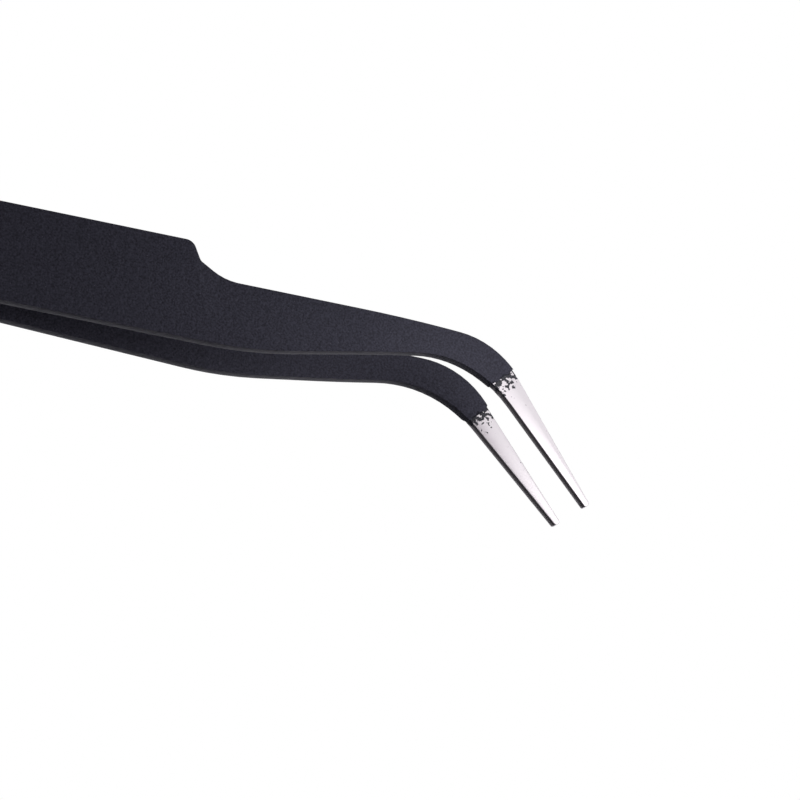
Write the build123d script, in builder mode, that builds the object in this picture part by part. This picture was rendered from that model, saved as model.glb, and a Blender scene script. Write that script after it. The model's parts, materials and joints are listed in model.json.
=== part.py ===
from build123d import *

import os
from math import asin, atan2, cos, degrees, hypot, radians, sin, tan

# Curved-tip precision tweezers: two spring-steel arms spot-welded to a spacer, epoxy coated.
# Each arm is drawn in plan and in side view, on a mid-plane that lies halfway between the arms,
# and the finished tweezers are then laid on their lower arm, as they lie on a bench.

# Plan of an arm: x runs from the tail to the tips, and +y is the notched edge.
tail_width = 7.0
tail_corner_radius = 1.8
grip_width = 9.88
grip_start = 36.0          # the tail has widened to the grip here
grip_blend_radius = 60.0
notch_x = 75.9             # corner where the grip steps down to the neck
notch_slope = 62.0         # the step starts steep, degrees
notch_steep_drop = 1.89    # height of its steep part
notch_ease_slope = 29.7    # and then eases, degrees
notch_corner_radius = 1.1
notch_kink_radius = 0.8
notch_ease_radius = 5.8
neck_top = 1.49            # height of the neck's upper edge at the notch
neck_fall = 0.2            # how far that edge falls on its way to the bend
taper_start = 83.5         # the lower edge starts to rise here
taper_radius = 45.0
bend_x = 108.89            # corner of the bend's outer edge
outer_tip_length = 18.6    # from the corners of the bend to the end
inner_tip_length = 19.0
outer_bend = 49.5          # the tip's outer edge, degrees below the grip
inner_bend = 42.4          # the tip's inner edge, degrees below the grip
outer_bend_radius = 9.4
inner_bend_radius = 12.2
tip_width = 0.6
tip_corner_radius = 0.22

# Side view of an arm: heights are above the mid-plane.
arm_thickness = 1.2
tip_thickness = 1.05
spacer_thickness = 1.5
weld_length = 12.0         # the arms lie flat on the spacer up to here
spread = 3.6               # slope of the grip, degrees
neck_spread = 4.7          # slope of the neck
tip_closing = 4.75         # slope of the tips, back towards each other
spread_length = 42.1       # the slope of the grip grows over this length
neck_bow_x = 79.0
neck_bow_radius = 200.0
belly_x = 98.5             # the widest place
belly_radius = 58.0

# Welds, electrode marks and coating.
weld_radius = 1.5
weld_margin = 3.2          # from the ends of the spacer to the nuggets
weld_sink = 0.3            # how far a nugget reaches into each arm
weld_clearance = 0.05
dimple_radius = 1.3
dimple_depth = 0.1
coat_thickness = 0.1
coat_gap = 0.3             # the inner coating starts this far from the spacer
bare_upper = 15.4          # bare steel at the end of each arm
bare_lower = 13.6
closed_gap = 0.04          # between the pressed tips, at the corners of their ends before rounding

half_grip = grip_width / 2
half_tail = tail_width / 2
half_spacer = spacer_thickness / 2
tail_height = half_spacer + arm_thickness / 2
room = 60.0                # more than any thickness or width
weld_places = [(weld_margin, 0), (weld_length - weld_margin, 0)]


def beside(start, length, angle):
    """The point at a length and an angle in degrees from a start point."""
    return (start[0] + length * cos(radians(angle)), start[1] + length * sin(radians(angle)))


# Plan corners of the step, the bend and the tip.
notch_kink = (notch_x + notch_steep_drop / tan(radians(notch_slope)), half_grip - notch_steep_drop)
notch_foot = (notch_kink[0] + (notch_kink[1] - neck_top) / tan(radians(notch_ease_slope)), neck_top)
notch_room = (notch_foot[0] - notch_kink[0]) / cos(radians(notch_ease_slope)) - notch_kink_radius / 2
outer_corner = (bend_x, neck_top - neck_fall)
outer_end = beside(outer_corner, outer_tip_length, -outer_bend)
tip_heading = (outer_bend + inner_bend) / 2
inner_end = beside(outer_end, tip_width, -90 - tip_heading)
inner_corner = beside(inner_end, inner_tip_length, 180 - inner_bend)
plan_corners = [
    ((0, -half_tail), tail_corner_radius),
    ((0, half_tail), tail_corner_radius),
    ((grip_start, half_grip), grip_blend_radius),
    ((notch_x, half_grip), notch_corner_radius),
    (notch_kink, notch_kink_radius),
    (notch_foot, min(notch_ease_radius, notch_room / tan(radians(notch_ease_slope / 2)))),
    (outer_corner, outer_bend_radius),
    (outer_end, tip_corner_radius),
    (inner_end, tip_corner_radius),
    (inner_corner, inner_bend_radius),
    ((taper_start, -half_grip), taper_radius),
    ((grip_start, -half_grip), grip_blend_radius),
]

# Side-view corners of the middle of an arm's thickness.
spread_x = weld_length + spread_length / 2
neck_bow = (neck_bow_x, tail_height + (neck_bow_x - spread_x) * tan(radians(spread)))
belly = (belly_x, neck_bow[1] + (belly_x - neck_bow_x) * tan(radians(neck_spread)))
side_end_x = outer_end[0] + 1
side_end = (side_end_x, belly[1] - (side_end_x - belly_x) * tan(radians(tip_closing)))
side_corners = [
    ((spread_x, tail_height), spread_length / 2 / tan(radians(spread / 2))),
    (neck_bow, neck_bow_radius),
    (belly, belly_radius),
]


def surface(offset, end_offset, start_x):
    """Corners and radii of a surface that runs beside the middle of an arm's thickness."""
    points = [(start_x, tail_height + offset)]
    points += [(x, height + offset) for (x, height), _ in side_corners]
    points.append((side_end[0], side_end[1] + end_offset))
    radii = [0] + [radius for _, radius in side_corners] + [0]
    return points, radii


def side_view(upper, lower):
    """Closed side view between an upper and a lower surface, as FilletPolyline takes it."""
    points = upper[0] + lower[0][::-1]
    radii = upper[1] + lower[1][::-1]
    return points, radii


arm_side = side_view(
    surface(arm_thickness / 2, tip_thickness / 2, -1),
    surface(-arm_thickness / 2, -tip_thickness / 2, -1),
)
coat_side = side_view(
    surface(arm_thickness / 2 + coat_thickness, tip_thickness / 2 + coat_thickness, -1),
    surface(-arm_thickness / 2 - coat_thickness, -tip_thickness / 2 - coat_thickness, -1),
)

with BuildSketch() as plan:
    with BuildLine():
        FilletPolyline(*[point for point, _ in plan_corners],
                       radius=[radius for _, radius in plan_corners], close=True)
    make_face()

with BuildSketch() as coat_plan:
    add(plan.sketch)
    offset(amount=coat_thickness, kind=Kind.ARC)


def shape_arm(outline, side):
    """Solid whose plan is an outline and whose side view is a closed line."""
    with BuildPart() as shape:
        with BuildSketch():
            add(outline)
        extrude(amount=room)
        with BuildSketch(Plane.XZ):
            with BuildLine():
                FilletPolyline(*side[0], radius=side[1], close=True)
            make_face()
        extrude(amount=room, both=True, mode=Mode.INTERSECT)
    return shape.part


with BuildPart() as upper_arm:
    add(shape_arm(plan.sketch, arm_side))
    # Pockets for the weld nuggets, and the electrode marks over them.
    with BuildSketch(Plane.XY.offset(half_spacer)):
        with Locations(*weld_places):
            Circle(weld_radius + weld_clearance)
    extrude(amount=weld_sink + weld_clearance, mode=Mode.SUBTRACT)
    with BuildSketch(Plane.XY.offset(half_spacer + arm_thickness)):
        with Locations(*weld_places):
            Circle(dimple_radius)
    extrude(amount=-dimple_depth, mode=Mode.SUBTRACT)

with BuildPart() as lower_arm:
    mirror(upper_arm.part, about=Plane.XY)


def coat(bare_length):
    """Coating of the upper arm, left off the last stretch of the tip and the electrode marks."""
    tip_end = ((outer_end[0] + inner_end[0]) / 2, (outer_end[1] + inner_end[1]) / 2)
    edge = beside(tip_end, bare_length, 180 - tip_heading)
    ahead = (cos(radians(tip_heading)), -sin(radians(tip_heading)), 0)
    with BuildPart() as skin:
        add(shape_arm(coat_plan.sketch, coat_side))
        add(shape_arm(plan.sketch, arm_side), mode=Mode.SUBTRACT)
        # The welded faces are bare: the inner coating starts in front of the spacer.
        with BuildSketch():
            with Locations((weld_length + coat_gap, 0)):
                Rectangle(room, room, align=(Align.MAX, Align.CENTER))
        extrude(amount=half_spacer, mode=Mode.SUBTRACT)
        split(bisect_by=Plane(origin=(edge[0], edge[1], 0), z_dir=ahead), keep=Keep.BOTTOM)
    return skin.part


with BuildPart() as upper_coating:
    add(coat(bare_upper))

with BuildPart() as lower_coating:
    mirror(coat(bare_lower), about=Plane.XY)

with BuildPart() as tail_spacer:
    with BuildSketch(Plane.XY.offset(-half_spacer)):
        add(plan.sketch)
        with Locations((weld_length, 0)):
            Rectangle(room * 4, room, align=(Align.MIN, Align.CENTER), mode=Mode.SUBTRACT)
        with Locations(*weld_places):
            Circle(weld_radius, mode=Mode.SUBTRACT)
    extrude(amount=spacer_thickness)

with BuildPart() as spot_welds:
    with BuildSketch(Plane.XY.offset(-half_spacer - weld_sink)):
        with Locations(*weld_places):
            Circle(weld_radius)
    extrude(amount=spacer_thickness + 2 * weld_sink)

with BuildPart() as tail_coating:
    with BuildSketch(Plane.XY.offset(-half_spacer)):
        add(coat_plan.sketch)
        add(plan.sketch, mode=Mode.SUBTRACT)
        with Locations((weld_length, 0)):
            Rectangle(room * 4, room, align=(Align.MIN, Align.CENTER), mode=Mode.SUBTRACT)
    extrude(amount=spacer_thickness)

pieces = {
    "upper_arm": upper_arm.part,
    "lower_arm": lower_arm.part,
    "upper_coating": upper_coating.part,
    "lower_coating": lower_coating.part,
    "tail_spacer": tail_spacer.part,
    "spot_welds": spot_welds.part,
    "tail_coating": tail_coating.part,
}

# On a bench the tail's rear edge and the belly of the lower arm both touch the surface.
skin_depth = arm_thickness / 2 + coat_thickness
tail_edge = (-coat_thickness, -tail_height - skin_depth)
belly_turn = radians((neck_spread + tip_closing) / 2)
belly_tilt = radians((neck_spread - tip_closing) / 2)
centre_reach = belly_radius / cos(belly_turn)
belly_centre = (belly_x + centre_reach * sin(belly_tilt),
                centre_reach * cos(belly_tilt) - belly[1] - skin_depth)
to_centre = (belly_centre[0] - tail_edge[0], belly_centre[1] - tail_edge[1])
lean = degrees(asin(belly_radius / hypot(*to_centre)) - atan2(to_centre[1], to_centre[0]))

laid = {name: piece.rotate(Axis.Y, -lean) for name, piece in pieces.items()}
box = Compound(list(laid.values())).bounding_box()
origin = Vector(box.center().X, box.center().Y, box.min.Z)


def on_bench(x, y, z):
    """A point of the mid-plane's frame, as it lies on the bench."""
    return Vector(x, y, z).rotate(Axis.Y, -lean) - origin


# Each arm bends at the spacer's front edge, until the ends of the tips nearly meet.
# The side view runs on past the tips, so the height of the inner face is taken where they end.
inner_fall = belly[1] - arm_thickness / 2 - (side_end[1] - tip_thickness / 2)
past_tips = (side_end[0] - outer_end[0]) / (side_end[0] - belly_x)
tip_rise = side_end[1] - tip_thickness / 2 + inner_fall * past_tips - half_spacer
tip_run = outer_end[0] - weld_length
closing_angle = degrees(
    atan2(tip_rise, tip_run) - asin((closed_gap / 2 - half_spacer) / hypot(tip_rise, tip_run))
)
print("lean", lean, "closing angle", closing_angle)
print("upper hinge", on_bench(weld_length, 0, half_spacer))
print("lower hinge", on_bench(weld_length, 0, -half_spacer))

os.makedirs("parts", exist_ok=True)
for name, piece in laid.items():
    placed = piece.translate(-origin)
    placed.label = name
    export_step(placed, f"parts/{name}.step")
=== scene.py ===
import json
import math

import bpy
from mathutils import Matrix, Vector, noise


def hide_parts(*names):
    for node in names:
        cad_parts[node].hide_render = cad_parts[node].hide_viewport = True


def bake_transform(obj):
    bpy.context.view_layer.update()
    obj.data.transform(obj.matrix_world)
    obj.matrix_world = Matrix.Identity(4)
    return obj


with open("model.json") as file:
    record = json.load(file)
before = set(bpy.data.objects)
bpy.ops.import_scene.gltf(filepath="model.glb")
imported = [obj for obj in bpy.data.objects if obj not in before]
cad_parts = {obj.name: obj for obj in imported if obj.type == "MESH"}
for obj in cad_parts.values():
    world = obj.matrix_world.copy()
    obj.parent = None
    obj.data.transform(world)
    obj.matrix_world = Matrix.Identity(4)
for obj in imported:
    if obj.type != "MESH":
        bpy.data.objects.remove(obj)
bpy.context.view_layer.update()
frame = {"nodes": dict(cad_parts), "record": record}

mm = 0.001

# The mid-plane between the arms leans a little on the bench; the two hinges say how it lies.
hinge = {j["name"]: Vector(j["pos_m"]) for j in frame["record"]["behaviour"]["joints"]}
acrossAxis = (hinge["upper_flex"] - hinge["lower_flex"]).normalized()
alongAxis = Vector((acrossAxis.z, 0, -acrossAxis.x))   # towards the tips
sideAxis = Vector((0, 1, 0))                           # towards the notched edge
weldLength = 12.0                                      # the arms lie flat on the spacer up to here, mm
flexEnd = 52.0                                         # most of an arm's bending is over by here, mm
hingeMiddle = (hinge["upper_flex"] + hinge["lower_flex"]) / 2


def direction(x, y, z):
    return (alongAxis * x + sideAxis * y + acrossAxis * z).normalized()


def place(x, y, z):  # millimetres from the middle of the tail, on the mid-plane
    return hingeMiddle + (alongAxis * (x - weldLength) + sideAxis * y + acrossAxis * z) * mm


def linear(hexColour):
    channels = [int(hexColour[i:i + 2], 16) / 255 for i in (1, 3, 5)]
    return [c / 12.92 if c <= 0.04045 else ((c + 0.055) / 1.055) ** 2.4 for c in channels] + [1]


def addNode(tree, kind, settings=None, values=None, links=None):
    node = tree.nodes.new(kind)
    for name, value in (settings or {}).items():
        setattr(node, name, value)
    for name, value in (values or {}).items():
        node.inputs[name].default_value = value
    for name, source in (links or {}).items():
        tree.links.new(source, node.inputs[name])
    return node


# Camera: looks down on the upper arm, from behind the tail and from the bent side.
cameraSet = {
    "target": (99.57, -6.54, 4.7),
    "right": (0.930, 0.1133, 0.357),
    "up": (-0.2083, 0.9506, 0.241),
    "distance": 0.9,
    "width": 80.0,
    "sensor": 36.0,
    "farClip": 100,  # metres
}
camData = bpy.data.cameras.new("camera")
camera = bpy.data.objects.new("camera", camData)
bpy.context.collection.objects.link(camera)
bpy.context.scene.camera = camera
viewRight = direction(*cameraSet["right"])
viewBack = viewRight.cross(direction(*cameraSet["up"])).normalized()
viewUp = viewBack.cross(viewRight)
viewTurn = Matrix((viewRight, viewUp, viewBack)).transposed().to_4x4()
viewPlace = place(*cameraSet["target"]) + viewBack * cameraSet["distance"]
camera.matrix_world = Matrix.Translation(viewPlace) @ viewTurn
camData.sensor_width = cameraSet["sensor"]
camData.lens = cameraSet["sensor"] * cameraSet["distance"] / (cameraSet["width"] * mm)
camData.clip_end = cameraSet["farClip"]
print("camera set")

# Stage: a white floor and a white dome, seen by the camera alone, so the sides of the arms stay dark.
stageSet = {"floorSize": 8.0, "domeRadius": 12.0, "glow": 1.0}
whiteCard = bpy.data.materials.new("white_card")
whiteCard.use_nodes = True
whiteCard.node_tree.nodes.clear()
cardGlow = addNode(whiteCard.node_tree, "ShaderNodeEmission",
                   values={"Color": (1, 1, 1, 1), "Strength": stageSet["glow"]})
addNode(whiteCard.node_tree, "ShaderNodeOutputMaterial", links={"Surface": cardGlow.outputs[0]})
bpy.ops.mesh.primitive_plane_add(size=stageSet["floorSize"])
floor = bpy.context.object
floor.name = "floor"
bpy.ops.mesh.primitive_uv_sphere_add(radius=stageSet["domeRadius"])
dome = bpy.context.object
dome.name = "dome"
for card in (floor, dome):
    card.data.materials.append(whiteCard)
    card.visible_glossy = card.visible_diffuse = card.visible_shadow = card.visible_transmission = False

# Studio light: dim and soft from above, dark below with a bright rim behind the arms, and a softbox
# close over the tips that lights them most and falls off along the grip. A second box, low in front
# of the tips, reaches in between the arms, and a bright horizon shapes the tweezers from every side.
lightSet = {"colour": "#FBF9FF", "above": 0.21, "below": 0.008, "rim": 1.5, "horizon": 0.4}
straightUp = (0, 0, 1)
rimAim = (0.312, 0.2985, -0.9077)
# Where each part of the light starts and is full, as the cosine of the angle to its aim.
fadeSet = {
    "sky": (-0.25, 0.85),
    "rim": (0.74, 0.97),
    "horizonTop": (0.62, 0.25),
    "horizonFoot": (-0.2, 0.02),
}
boxes = {  # place and aim on the mid-plane, and size, in mm; power in W
    "top_softbox": ((123.0, 8.0, 40.0), (112.0, -4.0, 0.0), 58.0, 0.0088),
    "front_softbox": ((143.0, -22.0, 36.0), (100.0, -5.0, -3.0), 50.0, 0.009),
}
world = bpy.data.worlds.new("studio")
bpy.context.scene.world = world
world.use_nodes = True
worldTree = world.node_tree
worldTree.nodes.clear()
look = addNode(worldTree, "ShaderNodeTexCoord")


def facing(aim, fade):  # 0 to 1 as the direction swings round to aim
    dot = addNode(worldTree, "ShaderNodeVectorMath", {"operation": "DOT_PRODUCT"},
                  links={0: look.outputs["Generated"]})
    dot.inputs[1].default_value = direction(*aim)
    ramp = addNode(worldTree, "ShaderNodeMapRange", {"interpolation_type": "SMOOTHSTEP"},
                   {"From Min": fade[0], "From Max": fade[1]}, {"Value": dot.outputs["Value"]})
    return ramp.outputs["Result"]


def combine(operation, first, second):
    node = addNode(worldTree, "ShaderNodeMath", {"operation": operation})
    for socket, value in zip(node.inputs, (first, second)):
        if isinstance(value, float):
            socket.default_value = value
        else:
            worldTree.links.new(value, socket)
    return node.outputs[0]


sky = combine("MULTIPLY", facing(straightUp, fadeSet["sky"]), lightSet["above"])
rimGlow = combine("MULTIPLY", facing(rimAim, fadeSet["rim"]), lightSet["rim"])
horizonTop = facing(straightUp, fadeSet["horizonTop"])
horizonFoot = facing(straightUp, fadeSet["horizonFoot"])
horizonGlow = combine("MULTIPLY", combine("MULTIPLY", horizonTop, horizonFoot), lightSet["horizon"])
total = combine("ADD", combine("ADD", sky, horizonGlow), combine("ADD", rimGlow, lightSet["below"]))
background = addNode(worldTree, "ShaderNodeBackground", values={"Color": linear(lightSet["colour"])},
                     links={"Strength": total})
addNode(worldTree, "ShaderNodeOutputWorld", links={"Surface": background.outputs[0]})
for name, (stand, aim, size, watts) in boxes.items():
    bpy.ops.object.light_add(type="AREA", location=place(*stand))
    box = bpy.context.object
    box.name = name
    box.data.size = size * mm
    box.data.energy = watts
    box.rotation_euler = (place(*aim) - box.location).to_track_quat("-Z", "Y").to_euler()
    box.visible_camera = False
bpy.context.scene.view_settings.view_transform = "Standard"
print("stage and light set")


# Epoxy powder coat, sprayed and baked: near-black with a cool tint, a fine orange peel that softens
# every reflection, and sparse pale grains where powder melted last.
coatSet = {
    "colour": "#0B0B10", "pale": "#3A3A45", "fleck": "#8D8B98",
    "roughness": 0.56, "roughnessSpread": 0.1, "ior": 1.55, "sheenTint": "#E6E3FF",
    "peel": 0.6, "peelHeight": 0.09, "grain": 0.2, "grainHeight": 0.06,  # millimetres
    "noiseDetail": 2, "bumpStrength": 0.8,
    "mottleLow": 0.3, "mottleHigh": 0.7,
    "fleckSpacing": 0.5, "fleckStrength": 0.3,                           # spacing in millimetres
    "fleckEdge": 0.1, "fleckHeart": 0.04,                                # parts of the spacing
}


def noiseTexture(tree, point, size, detail):  # size in mm
    return addNode(tree, "ShaderNodeTexNoise", values={"Scale": 1 / (size * mm), "Detail": detail},
                   links={"Vector": point})


def coatTone(tree, point, grain):  # mottled near-black with pale flecks
    flecks = addNode(tree, "ShaderNodeTexVoronoi", values={"Scale": 1 / (coatSet["fleckSpacing"] * mm)},
                     links={"Vector": point})
    dots = addNode(tree, "ShaderNodeMapRange",
                   values={"From Min": coatSet["fleckEdge"], "From Max": coatSet["fleckHeart"],
                           "To Max": coatSet["fleckStrength"]},
                   links={"Value": flecks.outputs["Distance"]})
    mottle = addNode(tree, "ShaderNodeMapRange",
                     values={"From Min": coatSet["mottleLow"], "From Max": coatSet["mottleHigh"]},
                     links={"Value": grain.outputs["Fac"]})
    base = addNode(tree, "ShaderNodeMix", {"data_type": "RGBA"}, links={0: mottle.outputs["Result"]})
    base.inputs[6].default_value = linear(coatSet["colour"])
    base.inputs[7].default_value = linear(coatSet["pale"])
    tone = addNode(tree, "ShaderNodeMix", {"data_type": "RGBA"},
                   links={0: dots.outputs["Result"], 6: base.outputs[2]})
    tone.inputs[7].default_value = linear(coatSet["fleck"])
    return tone.outputs[2]


def spreadRoughness(tree, grain, middle, spread):
    rough = addNode(tree, "ShaderNodeMapRange", values={"To Min": middle - spread, "To Max": middle + spread},
                    links={"Value": grain.outputs["Fac"]})
    return rough.outputs["Result"]


def newMaterial(name):
    material = bpy.data.materials.new(name)
    material.use_nodes = True
    tree = material.node_tree
    point = addNode(tree, "ShaderNodeTexCoord").outputs["Object"]
    return material, tree, tree.nodes["Principled BSDF"], point


epoxyCoat, tree, shader, point = newMaterial("baked_epoxy_powder")
peel = noiseTexture(tree, point, coatSet["peel"], coatSet["noiseDetail"])
grain = noiseTexture(tree, point, coatSet["grain"], coatSet["noiseDetail"])
soft = addNode(tree, "ShaderNodeBump",
               values={"Distance": coatSet["peelHeight"] * mm, "Strength": coatSet["bumpStrength"]},
               links={"Height": peel.outputs["Fac"]})
fine = addNode(tree, "ShaderNodeBump",
               values={"Distance": coatSet["grainHeight"] * mm, "Strength": coatSet["bumpStrength"]},
               links={"Height": grain.outputs["Fac"], "Normal": soft.outputs["Normal"]})
coatRough = spreadRoughness(tree, grain, coatSet["roughness"], coatSet["roughnessSpread"])
tree.links.new(coatTone(tree, point, grain), shader.inputs["Base Color"])
tree.links.new(coatRough, shader.inputs["Roughness"])
tree.links.new(fine.outputs["Normal"], shader.inputs["Normal"])
shader.inputs["IOR"].default_value = coatSet["ior"]
shader.inputs["Specular Tint"].default_value = linear(coatSet["sheenTint"])

# Spring steel, ground and tumbled to a satin: near-white with a faint lavender cast and a fine random
# grain. Spatter from the coating lies on it as black islands, thickest where the coating stops.
steelSet = {
    "colour": "#E6E0E4", "roughness": 0.38, "roughnessSpread": 0.08,
    "grain": 0.09, "grainHeight": 0.003,  # millimetres
    "noiseDetail": 3, "bumpStrength": 0.7,
}
# The noise has to pass a level to leave an island. The level rises from the near value to the far one
# between a start and an end, measured past the coating's front in mm. The islands' size is in mm too.
spatterSet = {
    "size": 0.36, "start": -0.2, "end": 2.4, "levelNear": 0.38, "levelFar": 0.72, "softness": 0.02,
}
tipTurn = math.radians(45.95)                # the bent tips point this far below the grip
tipAim = (math.cos(tipTurn), -math.sin(tipTurn), 0)
satinSteel, tree, shader, point = newMaterial("satin_spring_steel")
grain = noiseTexture(tree, point, steelSet["grain"], steelSet["noiseDetail"])
bump = addNode(tree, "ShaderNodeBump",
               values={"Distance": steelSet["grainHeight"] * mm, "Strength": steelSet["bumpStrength"]},
               links={"Height": grain.outputs["Fac"]})
islands = noiseTexture(tree, point, spatterSet["size"], steelSet["noiseDetail"])
pastCoat = addNode(tree, "ShaderNodeAttribute", {"attribute_name": "coatEdge"})
level = addNode(tree, "ShaderNodeMapRange",
                values={"From Min": spatterSet["start"], "From Max": spatterSet["end"],
                        "To Min": spatterSet["levelNear"], "To Max": spatterSet["levelFar"]},
                links={"Value": pastCoat.outputs["Fac"]})
over = addNode(tree, "ShaderNodeMath", {"operation": "SUBTRACT"},
               links={0: islands.outputs["Fac"], 1: level.outputs["Result"]})
mask = addNode(tree, "ShaderNodeMapRange", values={"From Max": spatterSet["softness"]},
               links={"Value": over.outputs[0]})
coatGrain = noiseTexture(tree, point, coatSet["grain"], coatSet["noiseDetail"])
colour = addNode(tree, "ShaderNodeMix", {"data_type": "RGBA"},
                 links={0: mask.outputs[0], 7: coatTone(tree, point, coatGrain)})
colour.inputs[6].default_value = linear(steelSet["colour"])
metal = addNode(tree, "ShaderNodeMath", {"operation": "SUBTRACT"}, {0: 1.0}, {1: mask.outputs[0]})
steelRough = spreadRoughness(tree, grain, steelSet["roughness"], steelSet["roughnessSpread"])
tree.links.new(colour.outputs[2], shader.inputs["Base Color"])
tree.links.new(metal.outputs[0], shader.inputs["Metallic"])
tree.links.new(steelRough, shader.inputs["Roughness"])
tree.links.new(bump.outputs["Normal"], shader.inputs["Normal"])

# Weld nuggets: steel melted and frozen between electrodes, greyer and rougher than the strip.
weldSet = {"colour": "#A8A4A0", "heat": "#6E625A", "roughness": 0.55, "ripple": 0.35, "noiseDetail": 3}
fusedSteel, tree, shader, point = newMaterial("fused_weld_steel")
ripple = noiseTexture(tree, point, weldSet["ripple"], weldSet["noiseDetail"])
tint = addNode(tree, "ShaderNodeMix", {"data_type": "RGBA"}, links={0: ripple.outputs["Fac"]})
tint.inputs[6].default_value = linear(weldSet["colour"])
tint.inputs[7].default_value = linear(weldSet["heat"])
tree.links.new(tint.outputs[2], shader.inputs["Base Color"])
shader.inputs["Metallic"].default_value = 1
shader.inputs["Roughness"].default_value = weldSet["roughness"]
print("materials made")

# Arms and coatings: copies of the design's solids, cut into short lengths so that they bend smoothly,
# with their sharp edges broken as tumbling and a baked coat leave them.
pieceSet = {
    "station": 2.0, "stationsPast": 10.0, "steelBevel": 0.14, "coatBevel": 0.16,  # millimetres
    "mergeGap": 0.002,                                                          # millimetres
    "flatAngle": 0.5, "bevelAngle": 35, "smoothAngle": 40,                      # degrees
    "segments": 3,
}
raggedSet = {
    "depth": 0.45, "waveSize": 0.5, "longEdge": 0.8, "frontLine": 0.01, "frontDepth": 0.05,  # millimetres
    "cuts": 14, "mean": 0.5,
}


def alongTips(point):  # distance of a point along the tips' own direction
    return (point - hingeMiddle).dot(direction(*tipAim))


def frontOf(mesh):  # the same for the end of a piece
    return max(alongTips(v.co) for v in mesh.vertices)


def copyNode(node, name):
    bpy.ops.object.select_all(action="DESELECT")
    source = frame["nodes"][node]
    piece = bpy.data.objects.new(name, source.data.copy())
    bpy.context.collection.objects.link(piece)
    bpy.context.view_layer.objects.active = piece
    piece.select_set(True)
    bpy.ops.object.mode_set(mode="EDIT")
    bpy.ops.mesh.select_all(action="SELECT")
    bpy.ops.mesh.remove_doubles(threshold=pieceSet["mergeGap"] * mm)
    bpy.ops.mesh.dissolve_limited(angle_limit=math.radians(pieceSet["flatAngle"]))
    bpy.ops.object.mode_set(mode="OBJECT")
    return piece


def cutStations(piece):
    bpy.ops.object.mode_set(mode="EDIT")
    x = weldLength + pieceSet["station"]
    while x < flexEnd + pieceSet["stationsPast"]:
        bpy.ops.mesh.select_all(action="SELECT")
        bpy.ops.mesh.bisect(plane_co=place(x, 0, 0), plane_no=alongAxis)
        x += pieceSet["station"]
    bpy.ops.object.mode_set(mode="OBJECT")


def breakEdges(piece, width):
    bevel = piece.modifiers.new("edges", "BEVEL")
    bevel.width = width * mm
    bevel.segments = pieceSet["segments"]
    bevel.limit_method = "ANGLE"
    bevel.angle_limit = math.radians(pieceSet["bevelAngle"])
    bevel.use_clamp_overlap = True
    bpy.ops.object.modifier_apply(modifier="edges")
    bpy.ops.object.shade_smooth_by_angle(angle=math.radians(pieceSet["smoothAngle"]))


def raggedEdge(coat):  # the coat's front edge creeps back unevenly
    ahead = direction(*tipAim)
    front = frontOf(coat.data)
    bpy.ops.object.mode_set(mode="EDIT")
    bpy.ops.mesh.select_all(action="DESELECT")
    bpy.ops.object.mode_set(mode="OBJECT")
    for e in coat.data.edges:
        ends = [coat.data.vertices[i].co for i in e.vertices]
        atFront = all(front - alongTips(p) < raggedSet["frontLine"] * mm for p in ends)
        e.select = atFront and (ends[0] - ends[1]).length > raggedSet["longEdge"] * mm
    bpy.ops.object.mode_set(mode="EDIT")
    bpy.ops.mesh.select_mode(type="EDGE")
    bpy.ops.mesh.subdivide(number_cuts=raggedSet["cuts"])
    bpy.ops.mesh.select_mode(type="VERT")
    bpy.ops.object.mode_set(mode="OBJECT")
    for v in coat.data.vertices:
        if front - alongTips(v.co) < raggedSet["frontDepth"] * mm:
            wave = noise.noise(v.co / (raggedSet["waveSize"] * mm))
            v.co -= ahead * (raggedSet["mean"] + wave) * raggedSet["depth"] * mm


def setMaterial(piece, material):
    piece.data.materials.clear()
    piece.data.materials.append(material)


for side in ("upper", "lower"):
    arm = copyNode(side + "_arm", side + "_arm_strip")
    cutStations(arm)
    breakEdges(arm, pieceSet["steelBevel"])
    coatFront = frontOf(frame["nodes"][side + "_coating"].data)
    coatEdge = arm.data.attributes.new("coatEdge", "FLOAT", "POINT")  # mm past the coating's front
    for i, v in enumerate(arm.data.vertices):
        coatEdge.data[i].value = (alongTips(v.co) - coatFront) / mm
    setMaterial(arm, satinSteel)
    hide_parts(side + "_arm")
    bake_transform(arm)

    coat = copyNode(side + "_coating", side + "_arm_coat")
    cutStations(coat)
    raggedEdge(coat)
    breakEdges(coat, pieceSet["coatBevel"])
    setMaterial(coat, epoxyCoat)
    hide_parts(side + "_coating")
    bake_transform(coat)
    print(side, "arm and coat made:", len(arm.data.polygons), len(coat.data.polygons), "faces")

# Spacer, nuggets and the coat over the spacer's edge keep the design's shape.
tailFinish = {"tail_spacer": satinSteel, "spot_welds": fusedSteel, "tail_coating": epoxyCoat}
for node, material in tailFinish.items():
    setMaterial(frame["nodes"][node], material)
print("tail finished")
